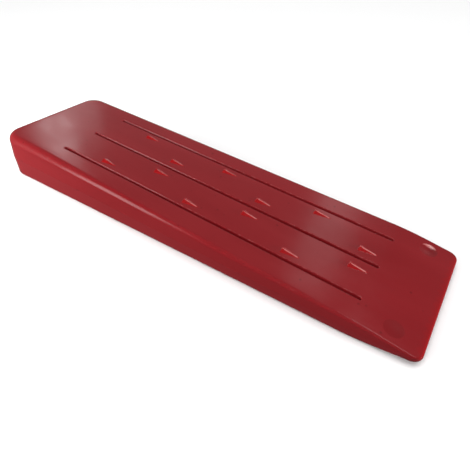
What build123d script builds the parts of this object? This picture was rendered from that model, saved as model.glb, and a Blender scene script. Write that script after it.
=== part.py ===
from build123d import *
import math
import os

# A plastic felling wedge, moulded in one piece. It lies on its underside:
# +X runs from the striking butt to the tip, +Z is up, and the origin is the
# centre of the base. Millimetres.

# Overall size
length = 254.0
width = 74.0
butt_thickness = 26.2

# The tip: both faces turn in a little more over the last stretch
bevel_length = 25.0
bevel_thickness = 9.0
tip_thickness = 2.4
tip_narrowing = 0.8
nose_radius = 0.9

# Rounding: large at the butt, nearly sharp at the tip, and slight all round the underside
butt_corner_radius = 11.3
tip_corner_radius = 4.5
butt_edge_radius = 4.9
tip_edge_radius = 0.9
underside_edge_radius = 1.4

# The sides draw in above and below the parting line, which is a little under half way up
parting_share = 0.46
top_draft = math.radians(4.0)
underside_draft = math.radians(1.0)

# Guide grooves along both faces
groove_spacing = 23.0
groove_start = 42.0
groove_end = 224.6
groove_width = 1.9
groove_depth = 1.6
groove_draft = 8.0

# Gripping barbs on the upper face: pairs that stand alternately beside the
# outer grooves and beside the middle groove
barb_rows = 6
barb_start = 68.4
barb_pitch = 28.8
barb_outer_offset = 18.0
barb_inner_offset = 6.8
barb_length = 10.2
barb_width = 4.2
barb_height = 1.45
barb_sink = 0.5

# Round ejector marks near the tip
mark_from_butt = 240.4
mark_offset = 28.4
mark_diameter = 8.6
mark_depth = 0.3

bevel_start = length - bevel_length
butt_x = -length / 2
face_fall = (butt_thickness - bevel_thickness) / bevel_start
middle_at_tip = bevel_thickness / 2 - face_fall / 2 * bevel_length
tip_top = middle_at_tip + tip_thickness / 2
tip_underside = middle_at_tip - tip_thickness / 2


def rounding(radius, distance):
    """How far a corner of this radius draws in, at a distance from the end."""
    if distance >= radius:
        return 0.0
    return radius - math.sqrt(radius**2 - (radius - distance) ** 2)


def face_heights(station):
    """Underside and top of the wedge, at a station measured from the butt."""
    if station <= bevel_start:
        return 0.0, butt_thickness - face_fall * station
    along = (station - bevel_start) / bevel_length
    return tip_underside * along, bevel_thickness + (tip_top - bevel_thickness) * along


def half_width(station):
    """Half of the width at the parting line, at a station from the butt."""
    narrowing = tip_narrowing * max(0.0, (station - bevel_start) / bevel_length)
    corners = rounding(butt_corner_radius, station) + rounding(tip_corner_radius, length - station)
    return width / 2 - narrowing - corners


def top_edge_radius(station):
    """The upper long edges' radius, which shrinks steadily towards the tip."""
    return butt_edge_radius + (tip_edge_radius - butt_edge_radius) * station / length


def wedge_section(station):
    """A six-sided slice across the wedge with its four outer corners rounded."""
    underside, top = face_heights(station)
    parting = underside + parting_share * (top - underside)
    nose = rounding(nose_radius, length - station)
    underside += rounding(underside_edge_radius, station) + nose
    top -= rounding(butt_edge_radius, station) + nose
    side = half_width(station)
    top_side = side - math.tan(top_draft) * (top - parting)
    underside_side = side - math.tan(underside_draft) * (parting - underside)
    with BuildSketch(Plane.YZ.offset(butt_x + station)) as section:
        with BuildLine():
            Polyline(
                (-underside_side, underside),
                (underside_side, underside),
                (side, parting),
                (top_side, top),
                (-top_side, top),
                (-side, parting),
                close=True,
            )
        make_face()
        top_radius = min(top_edge_radius(station), 0.8 * (top - parting))
        underside_radius = min(underside_edge_radius, 0.8 * (parting - underside))
        fillet(section.vertices().group_by(Axis.Y)[-1], top_radius)
        fillet(section.vertices().group_by(Axis.Y)[0], underside_radius)
    return section.sketch


# Stations where the slices stand: close together through the rounded ends
butt_stations = [butt_corner_radius * share for share in (0, 0.02, 0.08, 0.2, 0.35, 0.56, 1)]
tip_stations = [length - tip_corner_radius * share for share in (1, 0.55, 0.2, 0.06, 0)]
stations = butt_stations + [bevel_start] + tip_stations

# Working planes on the faces, with their x along the fall towards the tip
upper_face = Plane(
    origin=(butt_x, 0, butt_thickness),
    x_dir=(1, 0, -face_fall),
    z_dir=(face_fall, 0, 1),
)
underside_face = Plane(origin=(butt_x, 0, 0), x_dir=(1, 0, 0), z_dir=(0, 0, -1))
bevel_fall = (bevel_thickness - tip_top) / bevel_length
upper_bevel = Plane(
    origin=(butt_x + bevel_start, 0, bevel_thickness),
    x_dir=(1, 0, -bevel_fall),
    z_dir=(bevel_fall, 0, 1),
)

# One barb: a tooth with an upright back towards the butt, a sharp ridge that
# falls towards the tip, and a root sunk into the face
sunk_share = (barb_height + barb_sink) / barb_height
with BuildPart() as barb:
    with BuildSketch(Plane.YZ) as barb_back:
        with BuildLine():
            Polyline(
                (-barb_width / 2 * sunk_share, -barb_sink),
                (barb_width / 2 * sunk_share, -barb_sink),
                (0, barb_height),
                close=True,
            )
        make_face()
    loft(sections=[barb_back.sketch, Vertex(barb_length * sunk_share, 0, -barb_sink)])

barb_places = []
for row in range(barb_rows):
    barb_offset = barb_outer_offset if row % 2 == 0 else barb_inner_offset
    for side_sign in (-1, 1):
        place = Location((barb_start + barb_pitch * row, side_sign * barb_offset, 0))
        barb_places.append(upper_face.location * place)

groove_length = groove_end - groove_start
groove_middle = (groove_start + groove_end) / 2
groove_places = [(groove_middle, step * groove_spacing) for step in (-1, 0, 1)]

with BuildPart() as wedge_body:
    loft(sections=[wedge_section(station) for station in stations], ruled=True)
    with BuildSketch(upper_face) as upper_grooves:
        with Locations(*groove_places):
            SlotOverall(groove_length, groove_width)
    extrude(amount=-groove_depth, taper=groove_draft, mode=Mode.SUBTRACT)
    with BuildSketch(underside_face) as underside_grooves:
        with Locations(*groove_places):
            SlotOverall(groove_length, groove_width)
    extrude(amount=-groove_depth, taper=groove_draft, mode=Mode.SUBTRACT)
    with BuildSketch(upper_bevel) as ejector_marks:
        with Locations(*[(mark_from_butt - bevel_start, side * mark_offset) for side in (-1, 1)]):
            Circle(mark_diameter / 2)
    extrude(amount=-mark_depth, mode=Mode.SUBTRACT)
    with Locations(*barb_places):
        add(barb.part)

os.makedirs("parts", exist_ok=True)
wedge_body.part.label = "wedge_body"
export_step(wedge_body.part, "parts/wedge_body.step")
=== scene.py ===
import math

import bmesh
import bpy
from mathutils import Matrix, Vector
from mathutils.geometry import delaunay_2d_cdt


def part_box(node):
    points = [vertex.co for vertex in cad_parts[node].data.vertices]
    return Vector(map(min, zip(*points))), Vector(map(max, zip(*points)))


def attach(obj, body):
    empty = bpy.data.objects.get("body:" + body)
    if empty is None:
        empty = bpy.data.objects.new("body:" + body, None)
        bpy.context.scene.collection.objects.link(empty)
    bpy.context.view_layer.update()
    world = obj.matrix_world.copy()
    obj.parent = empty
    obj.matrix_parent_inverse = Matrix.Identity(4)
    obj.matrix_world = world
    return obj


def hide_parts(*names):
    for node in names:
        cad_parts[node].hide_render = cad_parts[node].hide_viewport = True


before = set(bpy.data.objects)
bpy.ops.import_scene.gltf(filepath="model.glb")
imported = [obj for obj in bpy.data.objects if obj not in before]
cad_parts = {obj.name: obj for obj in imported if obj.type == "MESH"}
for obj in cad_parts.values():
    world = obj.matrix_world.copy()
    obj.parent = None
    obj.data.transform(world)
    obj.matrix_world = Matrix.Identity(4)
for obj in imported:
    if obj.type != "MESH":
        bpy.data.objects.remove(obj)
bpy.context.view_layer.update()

MM = 0.001

# ---------------------------------------------------------------- the wedge's sizes
# Stations run along the wedge from the butt, where they are 0, to the tip.
body_low, body_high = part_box("wedge_body")
LENGTH = body_high.x - body_low.x
WIDTH = body_high.y - body_low.y
BUTT_X = body_low.x
BASE_Z = body_low.z
SLOPE_ALLOWANCE = 0.4 * MM  # the top face, drawn on to the butt, is this much over the box
BUTT_THICKNESS = body_high.z - body_low.z + SLOPE_ALLOWANCE

BEVEL_LENGTH = 25.0 * MM
BEVEL_THICKNESS = 9.0 * MM
BEVEL_BLEND = 9.0 * MM
TIP_THICKNESS = 2.35 * MM
TIP_NARROWING = 0.8 * MM
BUTT_CORNER_RADIUS = 11.3 * MM
TIP_CORNER_RADIUS = 4.5 * MM
BUTT_EDGE_RADIUS = 4.9 * MM
TIP_EDGE_RADIUS = 0.9 * MM
UNDERSIDE_EDGE_RADIUS = 1.4 * MM
UNDERSIDE_ROUND_LIMIT = 0.8  # the rounding stays under this share of the lower wall
PARTING_SHARE = 0.46
TOP_DRAFT = math.tan(math.radians(4.0))
UNDERSIDE_DRAFT = math.tan(math.radians(1.0))
THIN_REACH = 1.8 * MM  # how far in from the tip the painted glow of light through the plastic reaches
FLASH_HEIGHT = 0.04 * MM
FLASH_HALF_WIDTH = 0.22 * MM

BEVEL_START = LENGTH - BEVEL_LENGTH
FACE_FALL = (BUTT_THICKNESS - BEVEL_THICKNESS) / BEVEL_START
TIP_MIDDLE = BEVEL_THICKNESS / 2 - FACE_FALL / 2 * BEVEL_LENGTH
UNDERSIDE_RISE = (TIP_MIDDLE - TIP_THICKNESS / 2) / BEVEL_LENGTH
BEVEL_FALL = (BEVEL_THICKNESS - TIP_MIDDLE - TIP_THICKNESS / 2) / BEVEL_LENGTH - FACE_FALL

GROOVE_SPACING = 23.0 * MM
GROOVE_START = 42.0 * MM
GROOVE_END = 224.6 * MM
GROOVE_WIDTH = 2.0 * MM
GROOVE_DEPTH = 1.45 * MM
GROOVE_DRAFT = math.tan(math.radians(20.0))
GROOVE_LIP = 0.3 * MM
GROOVE_FLOOR_ROUND = 0.3 * MM

BARB_ROWS = 6
BARB_START = 68.4 * MM
BARB_PITCH = 28.8 * MM
BARB_OUTER_OFFSET = 18.0 * MM
BARB_INNER_OFFSET = 6.8 * MM
BARB_LENGTH = 10.2 * MM
BARB_WIDTH = 4.2 * MM
BARB_HEIGHT = 1.25 * MM
BARB_EDGE_ROUND = 0.34 * MM
BARB_BACK_LEAN = 0.2 * MM
BARB_CREST = 0.5 * MM  # half the width of the pale strip along the ridge: rubbing and a painted glint
BARB_PEAK_SHARE = 0.97  # the blunt peak's height, as a share of a sharp one's
BARB_ROUND_LIMIT = 0.6  # the corners' rounding stays under this share of the inscribed circle

MARK_STATION = 240.4 * MM
MARK_OFFSET = 28.4 * MM
MARK_RADIUS = 4.3 * MM
FAR_MARK_DEPTH = 0.62 * MM
NEAR_MARK_DEPTH = 0.14 * MM
MARK_LIP = 0.12 * MM
MARK_RIM_SHARE = 0.05  # the sharp step at the rim, as a share of the dish's depth
MARK_BOWL = 1.4  # the power that shapes the dish, where 1 is a cone and 2 a bowl
MARK_LEAN = 0.6  # how much deeper the pin went in towards the nearer long edge
SCAR_AND_GLINT_START = 0.36  # the deep mark's pale scraped part, also a painted glint, starts this share of the radius out
SCAR_AND_GLINT_FADE = 0.4

# How rubbed the raised edges are, and how polished a mark's rim is, from 0 to 1; on the barbs the
# pale rubbing also serves as a painted glint along the ridges.
LONG_EDGE_WEAR = 0.3
GROOVE_MOUTH_WEAR = 0.3
GROOVE_LIP_WEAR = 0.5
BARB_LEAST_RUB_AND_GLINT = 0.35
BARB_PEAK_RUB_AND_GLINT = 0.6
MARK_RIM_WEAR = 0.1
MARK_RIM_POLISH = 0.4

# ---------------------------------------------------------------- how finely the skin is cut up
SUPPORT = 0.12 * MM  # a narrow flat band round each feature keeps the face's shading flat
GRID = 2.6 * MM  # spacing of the points inside the flat faces
CLEARANCE = 0.55  # the least gap between those points and an outline, as a share of the grid
BUTT_CORNER_STEPS = 18
TIP_CORNER_STEPS = 12
WALL_RISES = (0.25, 0.6, 0.95)
LONG_EDGE_STEPS = 12
GROOVE_END_STEPS = 14
GROOVE_LIP_STEPS = 4
GROOVE_LIP_TURN = math.radians(80)
GROOVE_FLOOR_STEPS = 4
BARB_CORNER_POINTS = 7
BARB_BACK_PARTS = 4
BARB_FLANK_PARTS = 9
BARB_FOOT_RINGS = ((0.3 * MM, 0.0), (0.16 * MM, 0.0), (0.05 * MM, 0.03 * MM))  # (reach, lift)
BARB_SHARES = (0.94, 0.84, 0.72, 0.6, 0.48, 0.36, 0.26, 0.17, 0.1, 0.05)
MARK_SIDES = 64
MARK_SHARES = (0.99, 0.96, 0.92, 0.87, 0.81, 0.74, 0.65, 0.54, 0.4, 0.24, 0.1)


# ---------------------------------------------------------------- the wedge's form
def past_bend(station):
    """How far a station lies past the start of the tip bevel, eased in over the blend."""
    past = station - BEVEL_START
    if past <= -BEVEL_BLEND:
        return 0.0
    if past >= BEVEL_BLEND:
        return past
    return (past + BEVEL_BLEND) ** 2 / (4 * BEVEL_BLEND)


def top_height(station):
    return BASE_Z + BUTT_THICKNESS - FACE_FALL * station - BEVEL_FALL * past_bend(station)


def underside_height(station):
    return BASE_Z + UNDERSIDE_RISE * past_bend(station)


def parting_height(station):
    underside = underside_height(station)
    return underside + PARTING_SHARE * (top_height(station) - underside)


def face_rise(station, up):
    """The height of the upper (up = 1) or lower (up = -1) half above the parting line."""
    if up > 0:
        return top_height(station) - parting_height(station)
    return parting_height(station) - underside_height(station)


def edge_radius(station, up):
    """The rounding of the outer edges above (up = 1) or below (up = -1) the parting line."""
    if up > 0:
        return BUTT_EDGE_RADIUS + (TIP_EDGE_RADIUS - BUTT_EDGE_RADIUS) * station / LENGTH
    return min(UNDERSIDE_EDGE_RADIUS, UNDERSIDE_ROUND_LIMIT * face_rise(station, up))


def side_offset(station):
    return WIDTH / 2 - TIP_NARROWING / BEVEL_LENGTH * past_bend(station)


def spread(start, end, step):
    """Evenly spaced values after start, up to and with end."""
    count = max(1, round(abs(end - start) / step))
    return [start + (end - start) * (i + 1) / count for i in range(count)]


def corner_arc(centre, radius, start_angle, end_angle, steps):
    """Points and outward directions round a quarter turn, after its first point."""
    arc = []
    for angle in spread(start_angle, end_angle, abs(end_angle - start_angle) / steps):
        out = Vector((math.cos(angle), math.sin(angle)))
        arc.append((centre + out * radius, out))
    return arc


def parting_line():
    """The wedge's outline in plan at the parting line: (station, y) points with the
    outward direction at each, once round from the middle of the butt."""
    butt_flat = WIDTH / 2 - BUTT_CORNER_RADIUS
    tip_side = side_offset(LENGTH - TIP_CORNER_RADIUS)
    tip_flat = tip_side - TIP_CORNER_RADIUS
    half = [(Vector((0, 0)), Vector((-1, 0)))]
    half += [(Vector((0, y)), Vector((-1, 0))) for y in spread(0, butt_flat, GRID)]
    butt_centre = Vector((BUTT_CORNER_RADIUS, butt_flat))
    half += corner_arc(
        butt_centre, BUTT_CORNER_RADIUS, math.pi, math.pi / 2, BUTT_CORNER_STEPS
    )
    for station in spread(BUTT_CORNER_RADIUS, LENGTH - TIP_CORNER_RADIUS, GRID):
        half.append((Vector((station, side_offset(station))), Vector((0, 1))))
    tip_centre = Vector((LENGTH - TIP_CORNER_RADIUS, tip_flat))
    half += corner_arc(tip_centre, TIP_CORNER_RADIUS, math.pi / 2, 0, TIP_CORNER_STEPS)
    half += [(Vector((LENGTH, y)), Vector((1, 0))) for y in spread(tip_flat, 0, GRID)]
    other = [(Vector((p.x, -p.y)), Vector((n.x, -n.y))) for p, n in half[1:-1]]
    return half + other[::-1]


class Skin:
    """The mesh in the making: its points, and how worn, polished or thin each one is; the rubbed
    marks also carry painted glints, and the thin ones a painted glow.
    """

    def __init__(self):
        self.mesh = bmesh.new()
        self.edge = self.mesh.verts.layers.float.new("edge")
        self.polish = self.mesh.verts.layers.float.new("polish")
        self.thin = self.mesh.verts.layers.float.new("thin")

    def point(self, station, y, z, edge=0.0, polish=0.0, thin=0.0):
        vert = self.mesh.verts.new((BUTT_X + station, y, z))
        vert[self.edge] = edge
        vert[self.polish] = polish
        vert[self.thin] = thin
        return vert

    def face(self, verts):
        if len(set(verts)) > 2:
            self.mesh.faces.new(verts)

    def band(self, ring, next_ring):
        """A closed band of four-sided faces between two rings of equal count."""
        for i in range(len(ring)):
            self.face((ring[i - 1], ring[i], next_ring[i], next_ring[i - 1]))

    def fan(self, ring, centre):
        for i in range(len(ring)):
            self.face((ring[i - 1], ring[i], centre))


def shell_ring(skin, outline, up, rise, arc, edge):
    """One ring of the outer shell, above (up = 1) or below (up = -1) the parting line.
    rise runs from 0 to 1 up the drafted wall, and arc from 0 to 1 round the long edge."""
    ring = []
    draft = TOP_DRAFT if up > 0 else UNDERSIDE_DRAFT
    turn = arc * math.pi / 2
    for at, out in outline:
        radius = edge_radius(at.x, up)
        wall = max(face_rise(at.x, up) - radius, 0.0) * rise
        inset = FLASH_HEIGHT + draft * wall + radius * (1 - math.cos(turn))
        place = at - out * inset
        wall_here = max(face_rise(place.x, up) - radius, 0.0) * rise
        z = parting_height(place.x) + up * (wall_here + radius * math.sin(turn))
        thin = max(0.0, 1 - (LENGTH - place.x) / THIN_REACH)
        ring.append(skin.point(place.x, place.y, z, edge, thin=thin))
    return ring


def flash_ring(skin, outline, up):
    """The foot of the parting line's thin flash, or its crest where up is 0."""
    inset = FLASH_HEIGHT * abs(up)
    ring = []
    for at, out in outline:
        place = at - out * inset
        z = parting_height(place.x) + up * FLASH_HALF_WIDTH
        ring.append(skin.point(place.x, place.y, z))
    return ring


def shell_half(skin, outline, crest, up):
    """The shell from the parting line's crest to the rim of one flat face."""
    rings = [crest, flash_ring(skin, outline, up)]
    rings += [shell_ring(skin, outline, up, rise, 0, 0.0) for rise in WALL_RISES]
    for i in range(LONG_EDGE_STEPS + 1):
        worn = math.sin(math.pi * i / LONG_EDGE_STEPS) * LONG_EDGE_WEAR
        rings.append(shell_ring(skin, outline, up, 1, i / LONG_EDGE_STEPS, worn))
    for ring, next_ring in zip(rings, rings[1:]):
        skin.band(ring, next_ring)
    return rings[-1]


# ---------------------------------------------------------------- features on the faces
def slot_outline(y, reach):
    """A round-ended slot round the groove at y, reach wider than its mouth all round."""
    radius = GROOVE_WIDTH / 2 + reach
    start, end = GROOVE_START + GROOVE_WIDTH / 2, GROOVE_END - GROOVE_WIDTH / 2
    points = [Vector((start, y + radius))]
    points += [Vector((s, y + radius)) for s in spread(start, end, GRID)]
    arc = corner_arc(Vector((end, y)), radius, math.pi / 2, -math.pi / 2, GROOVE_END_STEPS)
    points += [place for place, _ in arc]
    points += [Vector((s, y - radius)) for s in spread(end, start, GRID)]
    butt_centre = Vector((start, y))
    arc = corner_arc(butt_centre, radius, -math.pi / 2, -math.pi * 1.5, GROOVE_END_STEPS)
    points += [place for place, _ in arc[:-1]]
    return points


def groove_steps():
    """The groove's cross-section from its lip to its floor: (reach, depth, wear)."""
    steps = [(GROOVE_LIP + SUPPORT, 0.0, 0.0), (GROOVE_LIP, 0.0, GROOVE_MOUTH_WEAR)]
    for i in range(1, GROOVE_LIP_STEPS + 1):
        turn = GROOVE_LIP_TURN * i / GROOVE_LIP_STEPS
        reach = GROOVE_LIP * (1 - math.sin(turn))
        steps.append((reach, GROOVE_LIP * (1 - math.cos(turn)), GROOVE_LIP_WEAR))
    wall_depth = GROOVE_DEPTH - GROOVE_FLOOR_ROUND
    steps.append((-GROOVE_DRAFT * wall_depth / 2, wall_depth / 2, 0.0))
    foot = -GROOVE_DRAFT * wall_depth
    for i in range(GROOVE_FLOOR_STEPS + 1):
        turn = math.pi / 2 * i / GROOVE_FLOOR_STEPS
        reach = foot - GROOVE_FLOOR_ROUND * (1 - math.cos(turn))
        steps.append((reach, wall_depth + GROOVE_FLOOR_ROUND * math.sin(turn), 0.0))
    return steps


def feature_rings(skin, height, up, rings):
    """Rings of points on a face. Each ring is a list of (place, depth, edge, polish)."""
    made = []
    for ring in rings:
        made.append(
            [
                skin.point(at.x, at.y, height(at.x) - up * depth, edge, polish)
                for at, depth, edge, polish in ring
            ]
        )
    for ring, next_ring in zip(made, made[1:]):
        skin.band(ring, next_ring)
    return made


def groove(skin, height, up, y):
    """One guide groove. Gives back its outermost ring, which the face is sewn to."""
    rings = []
    for reach, depth, worn in groove_steps():
        rings.append([(at, depth, worn, 0.0) for at in slot_outline(y, reach)])
    made = feature_rings(skin, height, up, rings)
    floor = made[-1]
    count = len(floor)
    half_end = GROOVE_END_STEPS // 2
    side_count = count // 2 - GROOVE_END_STEPS
    across = 2 * side_count + GROOVE_END_STEPS
    # Each point of one long side and half end is joined to the one straight across from it.
    for i in range(-half_end, side_count + half_end):
        numbers = (i, i + 1, across - i - 1, across - i)
        corners = [floor[number % count] for number in numbers]
        skin.face(list(dict.fromkeys(corners)))
    return made[0]


def outward(along, inward):
    """The direction square to one side of a triangle, away from its inside."""
    square = Vector((along.y, -along.x))
    return -square if square.dot(inward) > 0 else square


def rounded_triangle(corners, radius, reach):
    """A triangle with rounded corners, reach wider all round, as places with 1 on the
    corners and 0 on the sides. Every call gives the same count of points."""
    centre = sum(corners, Vector((0, 0))) / 3
    points = []
    for i in range(3):
        before, here, after = corners[i - 1], corners[i], corners[(i + 1) % 3]
        to_before = (before - here).normalized()
        to_after = (after - here).normalized()
        half_angle = to_before.angle(to_after) / 2
        inward = (to_before + to_after).normalized()
        pivot = here + inward * (radius / math.sin(half_angle))
        out_before = outward(to_before, centre - here)
        out_after = outward(to_after, centre - here)
        for k in range(BARB_CORNER_POINTS):
            out = out_before.slerp(out_after, k / (BARB_CORNER_POINTS - 1))
            points.append(pivot + out * (radius + reach))
    filled = []
    for i, place in enumerate(points):
        filled.append((place, 1.0))
        following = points[(i + 1) % len(points)]
        if i % BARB_CORNER_POINTS == BARB_CORNER_POINTS - 1:
            on_back = i < BARB_CORNER_POINTS
            parts = BARB_BACK_PARTS if on_back else BARB_FLANK_PARTS
            filled += [(place.lerp(following, j / parts), 0.0) for j in range(1, parts)]
    return filled


def barb(skin, station, y):
    """A tooth with an upright back towards the butt and a ridge that falls to the tip.
    Gives back its outermost ring, which the face is sewn to."""
    foot = Vector((station, y))
    near = Vector((station, y - BARB_WIDTH / 2))
    far = Vector((station, y + BARB_WIDTH / 2))
    point = Vector((station + BARB_LENGTH, y))
    peak = foot + Vector((BARB_BACK_LEAN, 0))
    side = (point - far).length
    inner_radius = BARB_WIDTH * BARB_LENGTH / (BARB_WIDTH + 2 * side)
    # The teeth nearer the tip bite the most wood, and their pale ridges carry a brighter painted
    # glint.
    worn = BARB_LEAST_RUB_AND_GLINT + (1 - BARB_LEAST_RUB_AND_GLINT) * station / LENGTH
    rings = []
    for reach, lift in BARB_FOOT_RINGS:
        outline = rounded_triangle([near, far, point], BARB_EDGE_ROUND, reach)
        rings.append([(at, -lift, 0.0, 0.0) for at, _ in outline])
    for share in BARB_SHARES:
        corners = [peak + (corner - peak) * share for corner in (near, far, point)]
        radius = min(BARB_EDGE_ROUND, BARB_ROUND_LIMIT * share * inner_radius)
        outline = rounded_triangle(corners, radius, 0.0)
        lift = BARB_HEIGHT * (1 - share)
        ring = []
        for at, ridge in outline:
            # Ridge points are rubbed pale, which also paints a glint along the ridge.
            on_crest = abs(at.y - y) < BARB_CREST
            ring.append((at, -lift, worn * ridge if on_crest else 0.0, 0.0))
        rings.append(ring)
    made = feature_rings(skin, top_height, 1, rings)
    peak_height = top_height(peak.x) + BARB_HEIGHT * BARB_PEAK_SHARE
    skin.fan(made[-1], skin.point(peak.x, peak.y, peak_height, BARB_PEAK_RUB_AND_GLINT))
    # The raised tooth is painted with the glow of light through thin plastic.
    raised = made[len(BARB_FOOT_RINGS) - 1 :]
    for ring in raised:
        for vert in ring:
            vert[skin.thin] = 1.0
    return made[0]


def ejector_mark(skin, y, depth):
    """A shallow round dish with a polished floor, deeper towards the nearer long edge.
    Gives back its outermost ring, which the face is sewn to."""
    centre = Vector((MARK_STATION, y))
    rim = depth * MARK_RIM_SHARE
    # Each step is (radius, depth of the rim, depth of the dish, wear, polish).
    steps = [
        (MARK_RADIUS + MARK_LIP + SUPPORT, 0.0, 0.0, 0.0, 0.0),
        (MARK_RADIUS + MARK_LIP, 0.0, 0.0, 0.0, 0.0),
        (MARK_RADIUS + MARK_LIP * 0.4, rim / 2, 0.0, MARK_RIM_WEAR, MARK_RIM_POLISH),
    ]
    for share in MARK_SHARES:
        steps.append((MARK_RADIUS * share, rim, depth * (1 - share**MARK_BOWL), 0.0, 1.0))
    rings = []
    for radius, step, dish, worn, polish in steps:
        ring = []
        for i in range(MARK_SIDES):
            angle = 2 * math.pi * i / MARK_SIDES
            out = Vector((math.cos(angle), math.sin(angle)))
            towards_edge = math.copysign(1, y) * out.y * radius / MARK_RADIUS
            # On the deep mark the outer floor is painted pale: a scrape that also paints a glint.
            scar_and_glint = min(max((towards_edge - SCAR_AND_GLINT_START) / SCAR_AND_GLINT_FADE, 0.0), 1.0)
            scar_and_glint *= depth / FAR_MARK_DEPTH * polish
            sunk = step + dish * (1 + MARK_LEAN * towards_edge)
            ring.append((centre + out * radius, sunk, max(worn, scar_and_glint), polish))
        rings.append(ring)
    made = feature_rings(skin, top_height, 1, rings)
    floor = top_height(MARK_STATION) - rim - depth
    skin.fan(made[-1], skin.point(MARK_STATION, y, floor, 0.0, 1.0))
    return made[0]


def inside(place, loop):
    """Whether a point lies inside a closed loop of points."""
    crossings = 0
    for i in range(len(loop)):
        a, b = loop[i - 1], loop[i]
        if (a.y > place.y) != (b.y > place.y):
            if place.x < a.x + (place.y - a.y) / (b.y - a.y) * (b.x - a.x):
                crossings += 1
    return crossings % 2 == 1


def distance_to(place, loop):
    return min((place - corner).length for corner in loop)


def plan(vert):
    return Vector((vert.co.x, vert.co.y))


class Outline:
    """A ring's shape in plan with its box, for quick tests."""

    def __init__(self, ring):
        self.loop = [plan(vert) for vert in ring]
        self.low = Vector((min(p.x for p in self.loop), min(p.y for p in self.loop)))
        self.high = Vector((max(p.x for p in self.loop), max(p.y for p in self.loop)))

    def near(self, place, margin):
        across = self.low.x - margin < place.x < self.high.x + margin
        return across and self.low.y - margin < place.y < self.high.y + margin

    def touches(self, place, margin):
        if not self.near(place, margin):
            return False
        return inside(place, self.loop) or distance_to(place, self.loop) < margin


def anticlockwise(loop, places):
    """A loop of point numbers, turned round if it runs clockwise."""
    area = 0.0
    for i in range(len(loop)):
        a, b = places[loop[i - 1]], places[loop[i]]
        area += a.x * b.y - b.x * a.y
    return loop if area > 0 else loop[::-1]


def sew_face(skin, rim, holes, height):
    """Fills a flat face between its rim and the rings of the features on it."""
    margin = GRID * CLEARANCE
    rim_outline = Outline(rim)
    hole_outlines = [Outline(hole) for hole in holes]
    verts = list(rim)
    loops = [list(range(len(rim)))]
    for hole in holes:
        loops.append(list(range(len(verts), len(verts) + len(hole))))
        verts += hole
    row = 0
    y = rim_outline.low.y
    while y < rim_outline.high.y:
        x = rim_outline.low.x + (GRID / 2 if row % 2 else 0.0)
        while x < rim_outline.high.x:
            place = Vector((x, y))
            clear = inside(place, rim_outline.loop)
            clear = clear and distance_to(place, rim_outline.loop) > margin
            if clear and not any(hole.touches(place, margin) for hole in hole_outlines):
                verts.append(skin.point(x - BUTT_X, y, height(x - BUTT_X)))
            x += GRID
        y += GRID * math.sqrt(3) / 2
        row += 1
    coords = [plan(vert) / MM for vert in verts]
    loops = [anticlockwise(loop, coords) for loop in loops]
    inside_loops, smallest = 1, 1e-6
    found = delaunay_2d_cdt(coords, [], loops, inside_loops, smallest, True)
    _, _, triangles, sources, _, loops_round = found
    for triangle, round_it in zip(triangles, loops_round):
        inside_rim_only = list(round_it) == [0]
        if inside_rim_only:
            skin.face([verts[sources[corner][0]] for corner in triangle])


def build_wedge():
    skin = Skin()
    outline = parting_line()
    crest = flash_ring(skin, outline, 0)
    top_rim = shell_half(skin, outline, crest, 1)
    underside_rim = shell_half(skin, outline, crest, -1)
    groove_rows = [step * GROOVE_SPACING for step in (-1, 0, 1)]
    top_holes = [groove(skin, top_height, 1, y) for y in groove_rows]
    for row in range(BARB_ROWS):
        offset = BARB_OUTER_OFFSET if row % 2 == 0 else BARB_INNER_OFFSET
        for side in (-1, 1):
            station = BARB_START + BARB_PITCH * row
            top_holes.append(barb(skin, station, side * offset))
    for side, depth in ((-1, NEAR_MARK_DEPTH), (1, FAR_MARK_DEPTH)):
        top_holes.append(ejector_mark(skin, side * MARK_OFFSET, depth))
    underside_holes = [groove(skin, underside_height, -1, y) for y in groove_rows]
    sew_face(skin, top_rim, top_holes, top_height)
    sew_face(skin, underside_rim, underside_holes, underside_height)
    bmesh.ops.recalc_face_normals(skin.mesh, faces=skin.mesh.faces)
    open_edges = [edge for edge in skin.mesh.edges if not edge.is_manifold]
    if open_edges:
        raise ValueError(f"the wedge's skin has {len(open_edges)} open edges")
    data = bpy.data.meshes.new("felling_wedge")
    skin.mesh.to_mesh(data)
    skin.mesh.free()
    data.shade_smooth()
    wedge = bpy.data.objects.new("felling_wedge", data)
    bpy.context.scene.collection.objects.link(wedge)
    weighted = wedge.modifiers.new("even_shading", "WEIGHTED_NORMAL")
    weighted.keep_sharp = True
    return wedge


# ---------------------------------------------------------------- shader groups
def new_group(name, inputs, outputs):
    """An empty shader node group. inputs maps each label to its number, or to None where
    a place comes in, and outputs holds the labels of the numbers that come out."""
    group = bpy.data.node_groups.new(name, "ShaderNodeTree")
    for label, value in inputs.items():
        kind = "NodeSocketVector" if value is None else "NodeSocketFloat"
        socket = group.interface.new_socket(label, in_out="INPUT", socket_type=kind)
        if value is not None:
            socket.default_value = value
    for label in outputs:
        group.interface.new_socket(label, in_out="OUTPUT", socket_type="NodeSocketFloat")
    return group, group.nodes.new("NodeGroupInput"), group.nodes.new("NodeGroupOutput")


def feed(tree, socket, operand):
    """Links a socket to its operand, or sets it where the operand is a plain value."""
    if isinstance(operand, bpy.types.NodeSocket):
        tree.links.new(operand, socket)
    else:
        socket.default_value = operand


def math_node(tree, operation, *operands):
    """A Math node. Each operand is a number or a socket."""
    made = tree.nodes.new("ShaderNodeMath")
    made.operation = operation
    for socket, operand in zip(made.inputs, operands):
        feed(tree, socket, operand)
    return made.outputs[0]


def noise(tree, place, scale, detail, roughness, distortion=0.0):
    made = tree.nodes.new("ShaderNodeTexNoise")
    feed(tree, made.inputs["Vector"], place)
    feed(tree, made.inputs["Scale"], scale)
    feed(tree, made.inputs["Detail"], detail)
    feed(tree, made.inputs["Roughness"], roughness)
    feed(tree, made.inputs["Distortion"], distortion)
    return made.outputs["Fac"]


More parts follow.
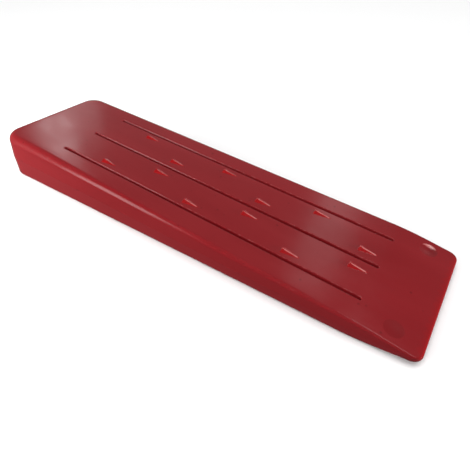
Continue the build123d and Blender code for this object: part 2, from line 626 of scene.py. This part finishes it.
def ramp(tree, value, low, high):
    """Turns a value between low and high into a smooth 0 to 1."""
    made = tree.nodes.new("ShaderNodeMapRange")
    made.interpolation_type = "SMOOTHSTEP"
    feed(tree, made.inputs["Value"], value)
    feed(tree, made.inputs["From Min"], low)
    feed(tree, made.inputs["From Max"], high)
    return made.outputs["Result"]


def stretched(tree, place, per_metre):
    """The place scaled differently along, across and up, for marks drawn out in one way."""
    made = tree.nodes.new("ShaderNodeVectorMath")
    made.operation = "MULTIPLY"
    feed(tree, made.inputs[0], place)
    feed(tree, made.inputs[1], per_metre)
    return made.outputs["Vector"]


def moulded_grain_group():
    """The fine spark-eroded grain of the mould, as a height."""
    inputs = {"Place": None, "Grains per metre": 1500.0}
    tree, start, end = new_group("moulded_grain", inputs, ["Height"])
    place, count = start.outputs["Place"], start.outputs["Grains per metre"]
    fine = noise(tree, place, count, 3.0, 0.6)
    coarse = noise(tree, place, math_node(tree, "MULTIPLY", count, 0.35), 2.0, 0.5)
    height = math_node(tree, "MULTIPLY_ADD", coarse, 0.6, math_node(tree, "MULTIPLY", fine, 0.4))
    tree.links.new(height, end.inputs["Height"])
    return tree


def sink_waves_group():
    """The slow waves that thick plastic sinks into as it cools, as a height."""
    inputs = {"Place": None, "Waves per metre": 60.0}
    tree, start, end = new_group("sink_waves", inputs, ["Height"])
    place, count = start.outputs["Place"], start.outputs["Waves per metre"]
    slow = noise(tree, place, count, 1.0, 0.4)
    quick = noise(tree, place, math_node(tree, "MULTIPLY", count, 4.5), 2.0, 0.5)
    height = math_node(tree, "MULTIPLY_ADD", quick, 0.22, math_node(tree, "MULTIPLY", slow, 0.78))
    tree.links.new(height, end.inputs["Height"])
    return tree


def flow_marks_group():
    """Cloudy bands that the melt leaves along the wedge: a tint and a gloss, each 0 to 1."""
    tree, start, end = new_group("flow_marks", {"Place": None}, ["Tint", "Gloss"])
    drawn_out = stretched(tree, start.outputs["Place"], (9.0, 34.0, 34.0))
    tint = ramp(tree, noise(tree, drawn_out, 1.0, 3.0, 0.55, 0.6), 0.3, 0.7)
    patches = stretched(tree, start.outputs["Place"], (45.0, 80.0, 80.0))
    gloss = ramp(tree, noise(tree, patches, 1.0, 3.0, 0.6, 0.3), 0.32, 0.68)
    tree.links.new(tint, end.inputs["Tint"])
    tree.links.new(gloss, end.inputs["Gloss"])
    return tree


def specks_group():
    """Sparse small spots, where grit was pressed into the skin, as a mask."""
    inputs = {"Place": None, "Specks per metre": 240.0, "Share": 0.4, "Size": 0.22}
    tree, start, end = new_group("specks", inputs, ["Mask"])
    cells = tree.nodes.new("ShaderNodeTexVoronoi")
    tree.links.new(start.outputs["Place"], cells.inputs["Vector"])
    tree.links.new(start.outputs["Specks per metre"], cells.inputs["Scale"])
    pick = tree.nodes.new("ShaderNodeSeparateColor")
    tree.links.new(cells.outputs["Color"], pick.inputs["Color"])
    chosen = math_node(tree, "LESS_THAN", pick.outputs["Red"], start.outputs["Share"])
    size = math_node(tree, "MULTIPLY", start.outputs["Size"], pick.outputs["Green"])
    spot = ramp(tree, cells.outputs["Distance"], size, math_node(tree, "MULTIPLY", size, 0.45))
    tree.links.new(math_node(tree, "MULTIPLY", spot, chosen), end.inputs["Mask"])
    return tree


def rub_and_glint_group():
    """Where handling has rubbed the raised edges, with painted glints on the barbs' ridges and
    the deep mark, as a mask, and their ragged outline.
    """
    inputs = {"Place": None, "Amount": 0.5}
    tree, start, end = new_group("edge_rub_and_glint", inputs, ["Mask"])
    edges = tree.nodes.new("ShaderNodeAttribute")
    edges.attribute_name = "edge"
    ragged = noise(tree, start.outputs["Place"], 420.0, 4.0, 0.65)
    reach = math_node(tree, "MULTIPLY", edges.outputs["Fac"], start.outputs["Amount"])
    worn = math_node(tree, "ADD", reach, math_node(tree, "SUBTRACT", ragged, 0.5))
    mask = math_node(tree, "MULTIPLY", ramp(tree, worn, 0.3, 0.75), edges.outputs["Fac"])
    tree.links.new(mask, end.inputs["Mask"])
    return tree


def painted_group(name, attribute):
    """A mask read from one of the marks that the mesh's points carry."""
    tree, _, end = new_group(name, {}, ["Mask"])
    painted = tree.nodes.new("ShaderNodeAttribute")
    painted.attribute_name = attribute
    tree.links.new(painted.outputs["Fac"], end.inputs["Mask"])
    return tree


def use_group(tree, group, place=None, **values):
    """Places a group in a material, fed with a place and with its own values."""
    made = tree.nodes.new("ShaderNodeGroup")
    made.node_tree = group
    if place is not None:
        tree.links.new(place, made.inputs["Place"])
    for label, value in values.items():
        made.inputs[label.replace("_", " ")].default_value = value
    return made.outputs


# The Mix node repeats its sockets for each kind of data, and these are the colour ones.
MIX_FIRST_COLOUR = 6
MIX_SECOND_COLOUR = 7
MIX_COLOUR_RESULT = 2


def mix_colour(tree, share, first, second):
    """Blends two colours, each a tuple or a socket, by a mask."""
    made = tree.nodes.new("ShaderNodeMix")
    made.data_type = "RGBA"
    feed(tree, made.inputs["Factor"], share)
    for number, colour in ((MIX_FIRST_COLOUR, first), (MIX_SECOND_COLOUR, second)):
        feed(tree, made.inputs[number], (*colour, 1) if isinstance(colour, tuple) else colour)
    return made.outputs[MIX_COLOUR_RESULT]


def bump(tree, height, distance, normal=None):
    """Relief of a given depth, laid over an earlier relief where one is given."""
    made = tree.nodes.new("ShaderNodeBump")
    feed(tree, made.inputs["Strength"], 1.0)
    feed(tree, made.inputs["Distance"], distance)
    feed(tree, made.inputs["Height"], height)
    if normal is not None:
        feed(tree, made.inputs["Normal"], normal)
    return made.outputs["Normal"]


# ---------------------------------------------------------------- materials
RED = (0.170, 0.0048, 0.0072)
PALE_RED = (0.190, 0.0072, 0.0100)
# A painted glow of light through thin plastic, at the tip and on the barbs.
THIN_GLOW_RED = (0.25, 0.0016, 0.0030)
DARK_RED = (0.12, 0.0035, 0.0050)
# Pale rubbed red; on barb ridges and the deep mark it also paints a glint.
RUBBED_AND_GLINT_RED = (0.50, 0.17, 0.16)

PLASTIC_IOR = 1.5
PLASTIC_SPECULAR = 0.3
FLAT_ROUGHNESS = 0.14
GLOSS_SPREAD = 0.06
WORN_ROUGHNESS = 0.34
PIN_ROUGHNESS = 0.17
GRAIN_DEPTH = 0.010 * MM
WAVE_DEPTH = 0.03 * MM
SPECK_DEPTH = 0.006 * MM
RUB_AND_GLINT_AMOUNT = 0.85
RUB_AND_GLINT_TINT = 0.7
PIN_TINT = 0.4


def make_red_plastic():
    """Deep red moulded plastic: satin, cloudy along the flow, with a painted glow of light where
    it is thin, and pale where it is rubbed, which on barb ridges and the deep mark is also a
    painted glint."""
    material = bpy.data.materials.new("red_plastic")
    material.use_nodes = True
    tree = material.node_tree
    shader = tree.nodes["Principled BSDF"]
    shader.inputs["IOR"].default_value = PLASTIC_IOR
    shader.inputs["Specular IOR Level"].default_value = PLASTIC_SPECULAR
    place = tree.nodes.new("ShaderNodeTexCoord").outputs["Object"]
    flow = use_group(tree, flow_marks_group(), place)
    specks = use_group(tree, specks_group(), place)
    rub_and_glint = use_group(tree, rub_and_glint_group(), place, Amount=RUB_AND_GLINT_AMOUNT)
    pins = use_group(tree, painted_group("pin_polish", "polish"))
    thin = use_group(tree, painted_group("light_through_thin_plastic", "thin"))
    colour = mix_colour(tree, flow["Tint"], RED, PALE_RED)
    # The painted glow of light through thin plastic.
    colour = mix_colour(tree, thin["Mask"], colour, THIN_GLOW_RED)
    pin_tint = math_node(tree, "MULTIPLY", pins["Mask"], PIN_TINT)
    colour = mix_colour(tree, pin_tint, colour, DARK_RED)
    colour = mix_colour(tree, specks["Mask"], colour, DARK_RED)
    # Pale rubbing, which on barb ridges and the deep mark is also a painted glint.
    rub_and_glint_tint = math_node(tree, "MULTIPLY", rub_and_glint["Mask"], RUB_AND_GLINT_TINT)
    colour = mix_colour(tree, rub_and_glint_tint, colour, RUBBED_AND_GLINT_RED)
    tree.links.new(colour, shader.inputs["Base Color"])
    rough = math_node(tree, "MULTIPLY_ADD", flow["Gloss"], GLOSS_SPREAD, FLAT_ROUGHNESS)
    worn = math_node(tree, "MULTIPLY", rub_and_glint["Mask"], WORN_ROUGHNESS - FLAT_ROUGHNESS)
    rough = math_node(tree, "ADD", rough, worn)
    polished = math_node(tree, "SUBTRACT", PIN_ROUGHNESS, rough)
    rough = math_node(tree, "MULTIPLY_ADD", pins["Mask"], polished, rough)
    tree.links.new(rough, shader.inputs["Roughness"])
    waves = use_group(tree, sink_waves_group(), place)
    grain = use_group(tree, moulded_grain_group(), place)
    normal = bump(tree, waves["Height"], WAVE_DEPTH)
    normal = bump(tree, specks["Mask"], -SPECK_DEPTH, normal)
    normal = bump(tree, grain["Height"], GRAIN_DEPTH, normal)
    tree.links.new(normal, shader.inputs["Normal"])
    return material


FLOOR_SIZE = 8.0
FLOOR_GREY = 0.9
FLOOR_ROUGHNESS = 0.9
FLOOR_SPECULAR = 0.2


def make_floor():
    bpy.ops.mesh.primitive_plane_add(size=FLOOR_SIZE, location=(0, 0, BASE_Z))
    floor = bpy.context.object
    floor.name = "floor"
    material = bpy.data.materials.new("pale_floor")
    material.use_nodes = True
    shader = material.node_tree.nodes["Principled BSDF"]
    shader.inputs["Base Color"].default_value = (FLOOR_GREY, FLOOR_GREY, FLOOR_GREY, 1)
    shader.inputs["Roughness"].default_value = FLOOR_ROUGHNESS
    shader.inputs["Specular IOR Level"].default_value = FLOOR_SPECULAR
    floor.data.materials.append(material)
    # The floor shows and takes the shadow, and its glare is kept off the walls.
    floor.visible_glossy = False
    floor.visible_diffuse = False


# ---------------------------------------------------------------- camera and light
CAMERA_AZIMUTH = 32.34
CAMERA_ELEVATION = 39.95
CAMERA_ROLL = 1.75
CAMERA_DISTANCE = 222.0 * MM
CAMERA_AIM = Vector((21.96, -4.05, -5.11)) * MM
CAMERA_LENS = 31.0
CAMERA_SENSOR = 36.0
CAMERA_NEAREST = 10.0 * MM


def camera_axes():
    """The camera's place, and its right, up and forward directions."""
    turn, tilt, roll = (
        math.radians(angle) for angle in (CAMERA_AZIMUTH, CAMERA_ELEVATION, CAMERA_ROLL)
    )
    forward = Vector(
        (-math.sin(turn) * math.cos(tilt), math.cos(turn) * math.cos(tilt), -math.sin(tilt))
    )
    level = Vector((math.cos(turn), math.sin(turn), 0))
    upright = level.cross(forward)
    right = level * math.cos(roll) + upright * math.sin(roll)
    up = upright * math.cos(roll) - level * math.sin(roll)
    return CAMERA_AIM - forward * CAMERA_DISTANCE, right, up, forward


def make_camera():
    place, right, up, forward = camera_axes()
    data = bpy.data.cameras.new("camera")
    data.lens = CAMERA_LENS
    data.sensor_width = CAMERA_SENSOR
    data.clip_start = CAMERA_NEAREST
    camera = bpy.data.objects.new("camera", data)
    axes = Matrix((right, up, -forward)).transposed()
    camera.matrix_world = Matrix.Translation(place) @ axes.to_4x4()
    bpy.context.scene.collection.objects.link(camera)
    bpy.context.scene.camera = camera


WORLD_STRENGTH = 0.28
MIDDLE = (0, 0, 0)

# The softboxes, as (name, place, aim, size, radiance, whether the plastic mirrors it).
SOFTBOXES = (
    ("overhead_softbox", (0, 0.1, 2.4), MIDDLE, (2.4, 2.4), 2.9, False),
    ("front_fill", (-0.6, -1.7, 1.05), MIDDLE, (1.4, 0.5), 5.2, False),
    ("side_fill", (-0.28, -0.22, 0.06), (-0.06, -0.03, 0.01), (0.3, 0.12), 18.0, False),
    ("tip_fill", (1.0, 0.3, 0.05), (0.1, 0, 0), (0.5, 0.1), 85.0, False),
    ("back_wall", (-0.2, 1.7, 0.2), MIDDLE, (3.0, 0.3), 1.3, True),
    ("back_glow", (-0.9, 1.5, 1.5), MIDDLE, (2.4, 1.4), 0.1, True),
)

# The sheens on the long face, as (name, station, y, size of the softbox, radiance).
SHEEN_DISTANCE = 1.4
SHEENS = (
    ("butt_strip", 37 * MM, -22 * MM, (0.11, 0.2), 2.5),
    ("butt_haze", -8 * MM, 16 * MM, (0.25, 0.3), 0.85),
    ("tip_strip", 196 * MM, 5 * MM, (0.16, 0.5), 1.2),
)

# The highlight along the near rounding, where the rounding faces this far up from level.
EDGE_SPOT = Vector((BUTT_X + 110 * MM, -35.5 * MM, 15.5 * MM))
EDGE_LEAN = math.radians(36)
EDGE_DISTANCE = 0.7
EDGE_SIZE = (0.2, 0.5)
EDGE_RADIANCE = 4.8

# The glint in the far ejector mark, seen on the slope of its dish.
GLINT_OFFSET = 2.8 * MM
GLINT_SLOPE = math.tan(math.radians(15.5))
GLINT_DISTANCE = 1.6
GLINT_SIZE = (0.8, 0.26)
GLINT_RADIANCE = 8.0


def area_light(name, place, aim, size, radiance, mirrored):
    """A white softbox that glows with a given radiance, where 1 is as bright as the floor."""
    data = bpy.data.lights.new(name, "AREA")
    data.shape = "RECTANGLE"
    data.size, data.size_y = size
    data.energy = radiance * math.pi * size[0] * size[1]
    light = bpy.data.objects.new(name, data)
    light.location = place
    light.rotation_euler = (Vector(aim) - Vector(place)).to_track_quat("-Z", "Y").to_euler()
    light.visible_camera = False
    light.visible_glossy = mirrored
    bpy.context.scene.collection.objects.link(light)
    return light


def mirrored_light(name, spot, normal, distance, size, radiance):
    """A softbox placed so that the camera sees its sheen at a spot of the surface."""
    to_camera = (camera_axes()[0] - spot).normalized()
    normal = normal.normalized()
    away = 2 * normal.dot(to_camera) * normal - to_camera
    light = area_light(name, spot + away * distance, spot, size, radiance, True)
    light.visible_diffuse = False


def top_spot(station, y):
    return Vector((BUTT_X + station, y, top_height(station)))


def make_lights():
    world = bpy.data.worlds.new("studio")
    bpy.context.scene.world = world
    world.use_nodes = True
    background = world.node_tree.nodes["Background"]
    background.inputs["Color"].default_value = (1, 1, 1, 1)
    background.inputs["Strength"].default_value = WORLD_STRENGTH
    for softbox in SOFTBOXES:
        area_light(*softbox)
    face_normal = Vector((FACE_FALL, 0, 1))
    for name, station, y, size, radiance in SHEENS:
        mirrored_light(name, top_spot(station, y), face_normal, SHEEN_DISTANCE, size, radiance)
    edge_normal = Vector((0, -math.cos(EDGE_LEAN), math.sin(EDGE_LEAN)))
    mirrored_light(
        "edge_strip", EDGE_SPOT, edge_normal, EDGE_DISTANCE, EDGE_SIZE, EDGE_RADIANCE
    )
    glint_spot = top_spot(MARK_STATION, MARK_OFFSET + GLINT_OFFSET)
    glint_normal = Vector((FACE_FALL + BEVEL_FALL, -GLINT_SLOPE, 1))
    mirrored_light(
        "mark_strip", glint_spot, glint_normal, GLINT_DISTANCE, GLINT_SIZE, GLINT_RADIANCE
    )


bpy.context.scene.view_settings.view_transform = "Standard"
make_camera()
make_lights()
make_floor()
wedge = build_wedge()
wedge.data.materials.append(make_red_plastic())
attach(wedge, "root")
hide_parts("wedge_body")
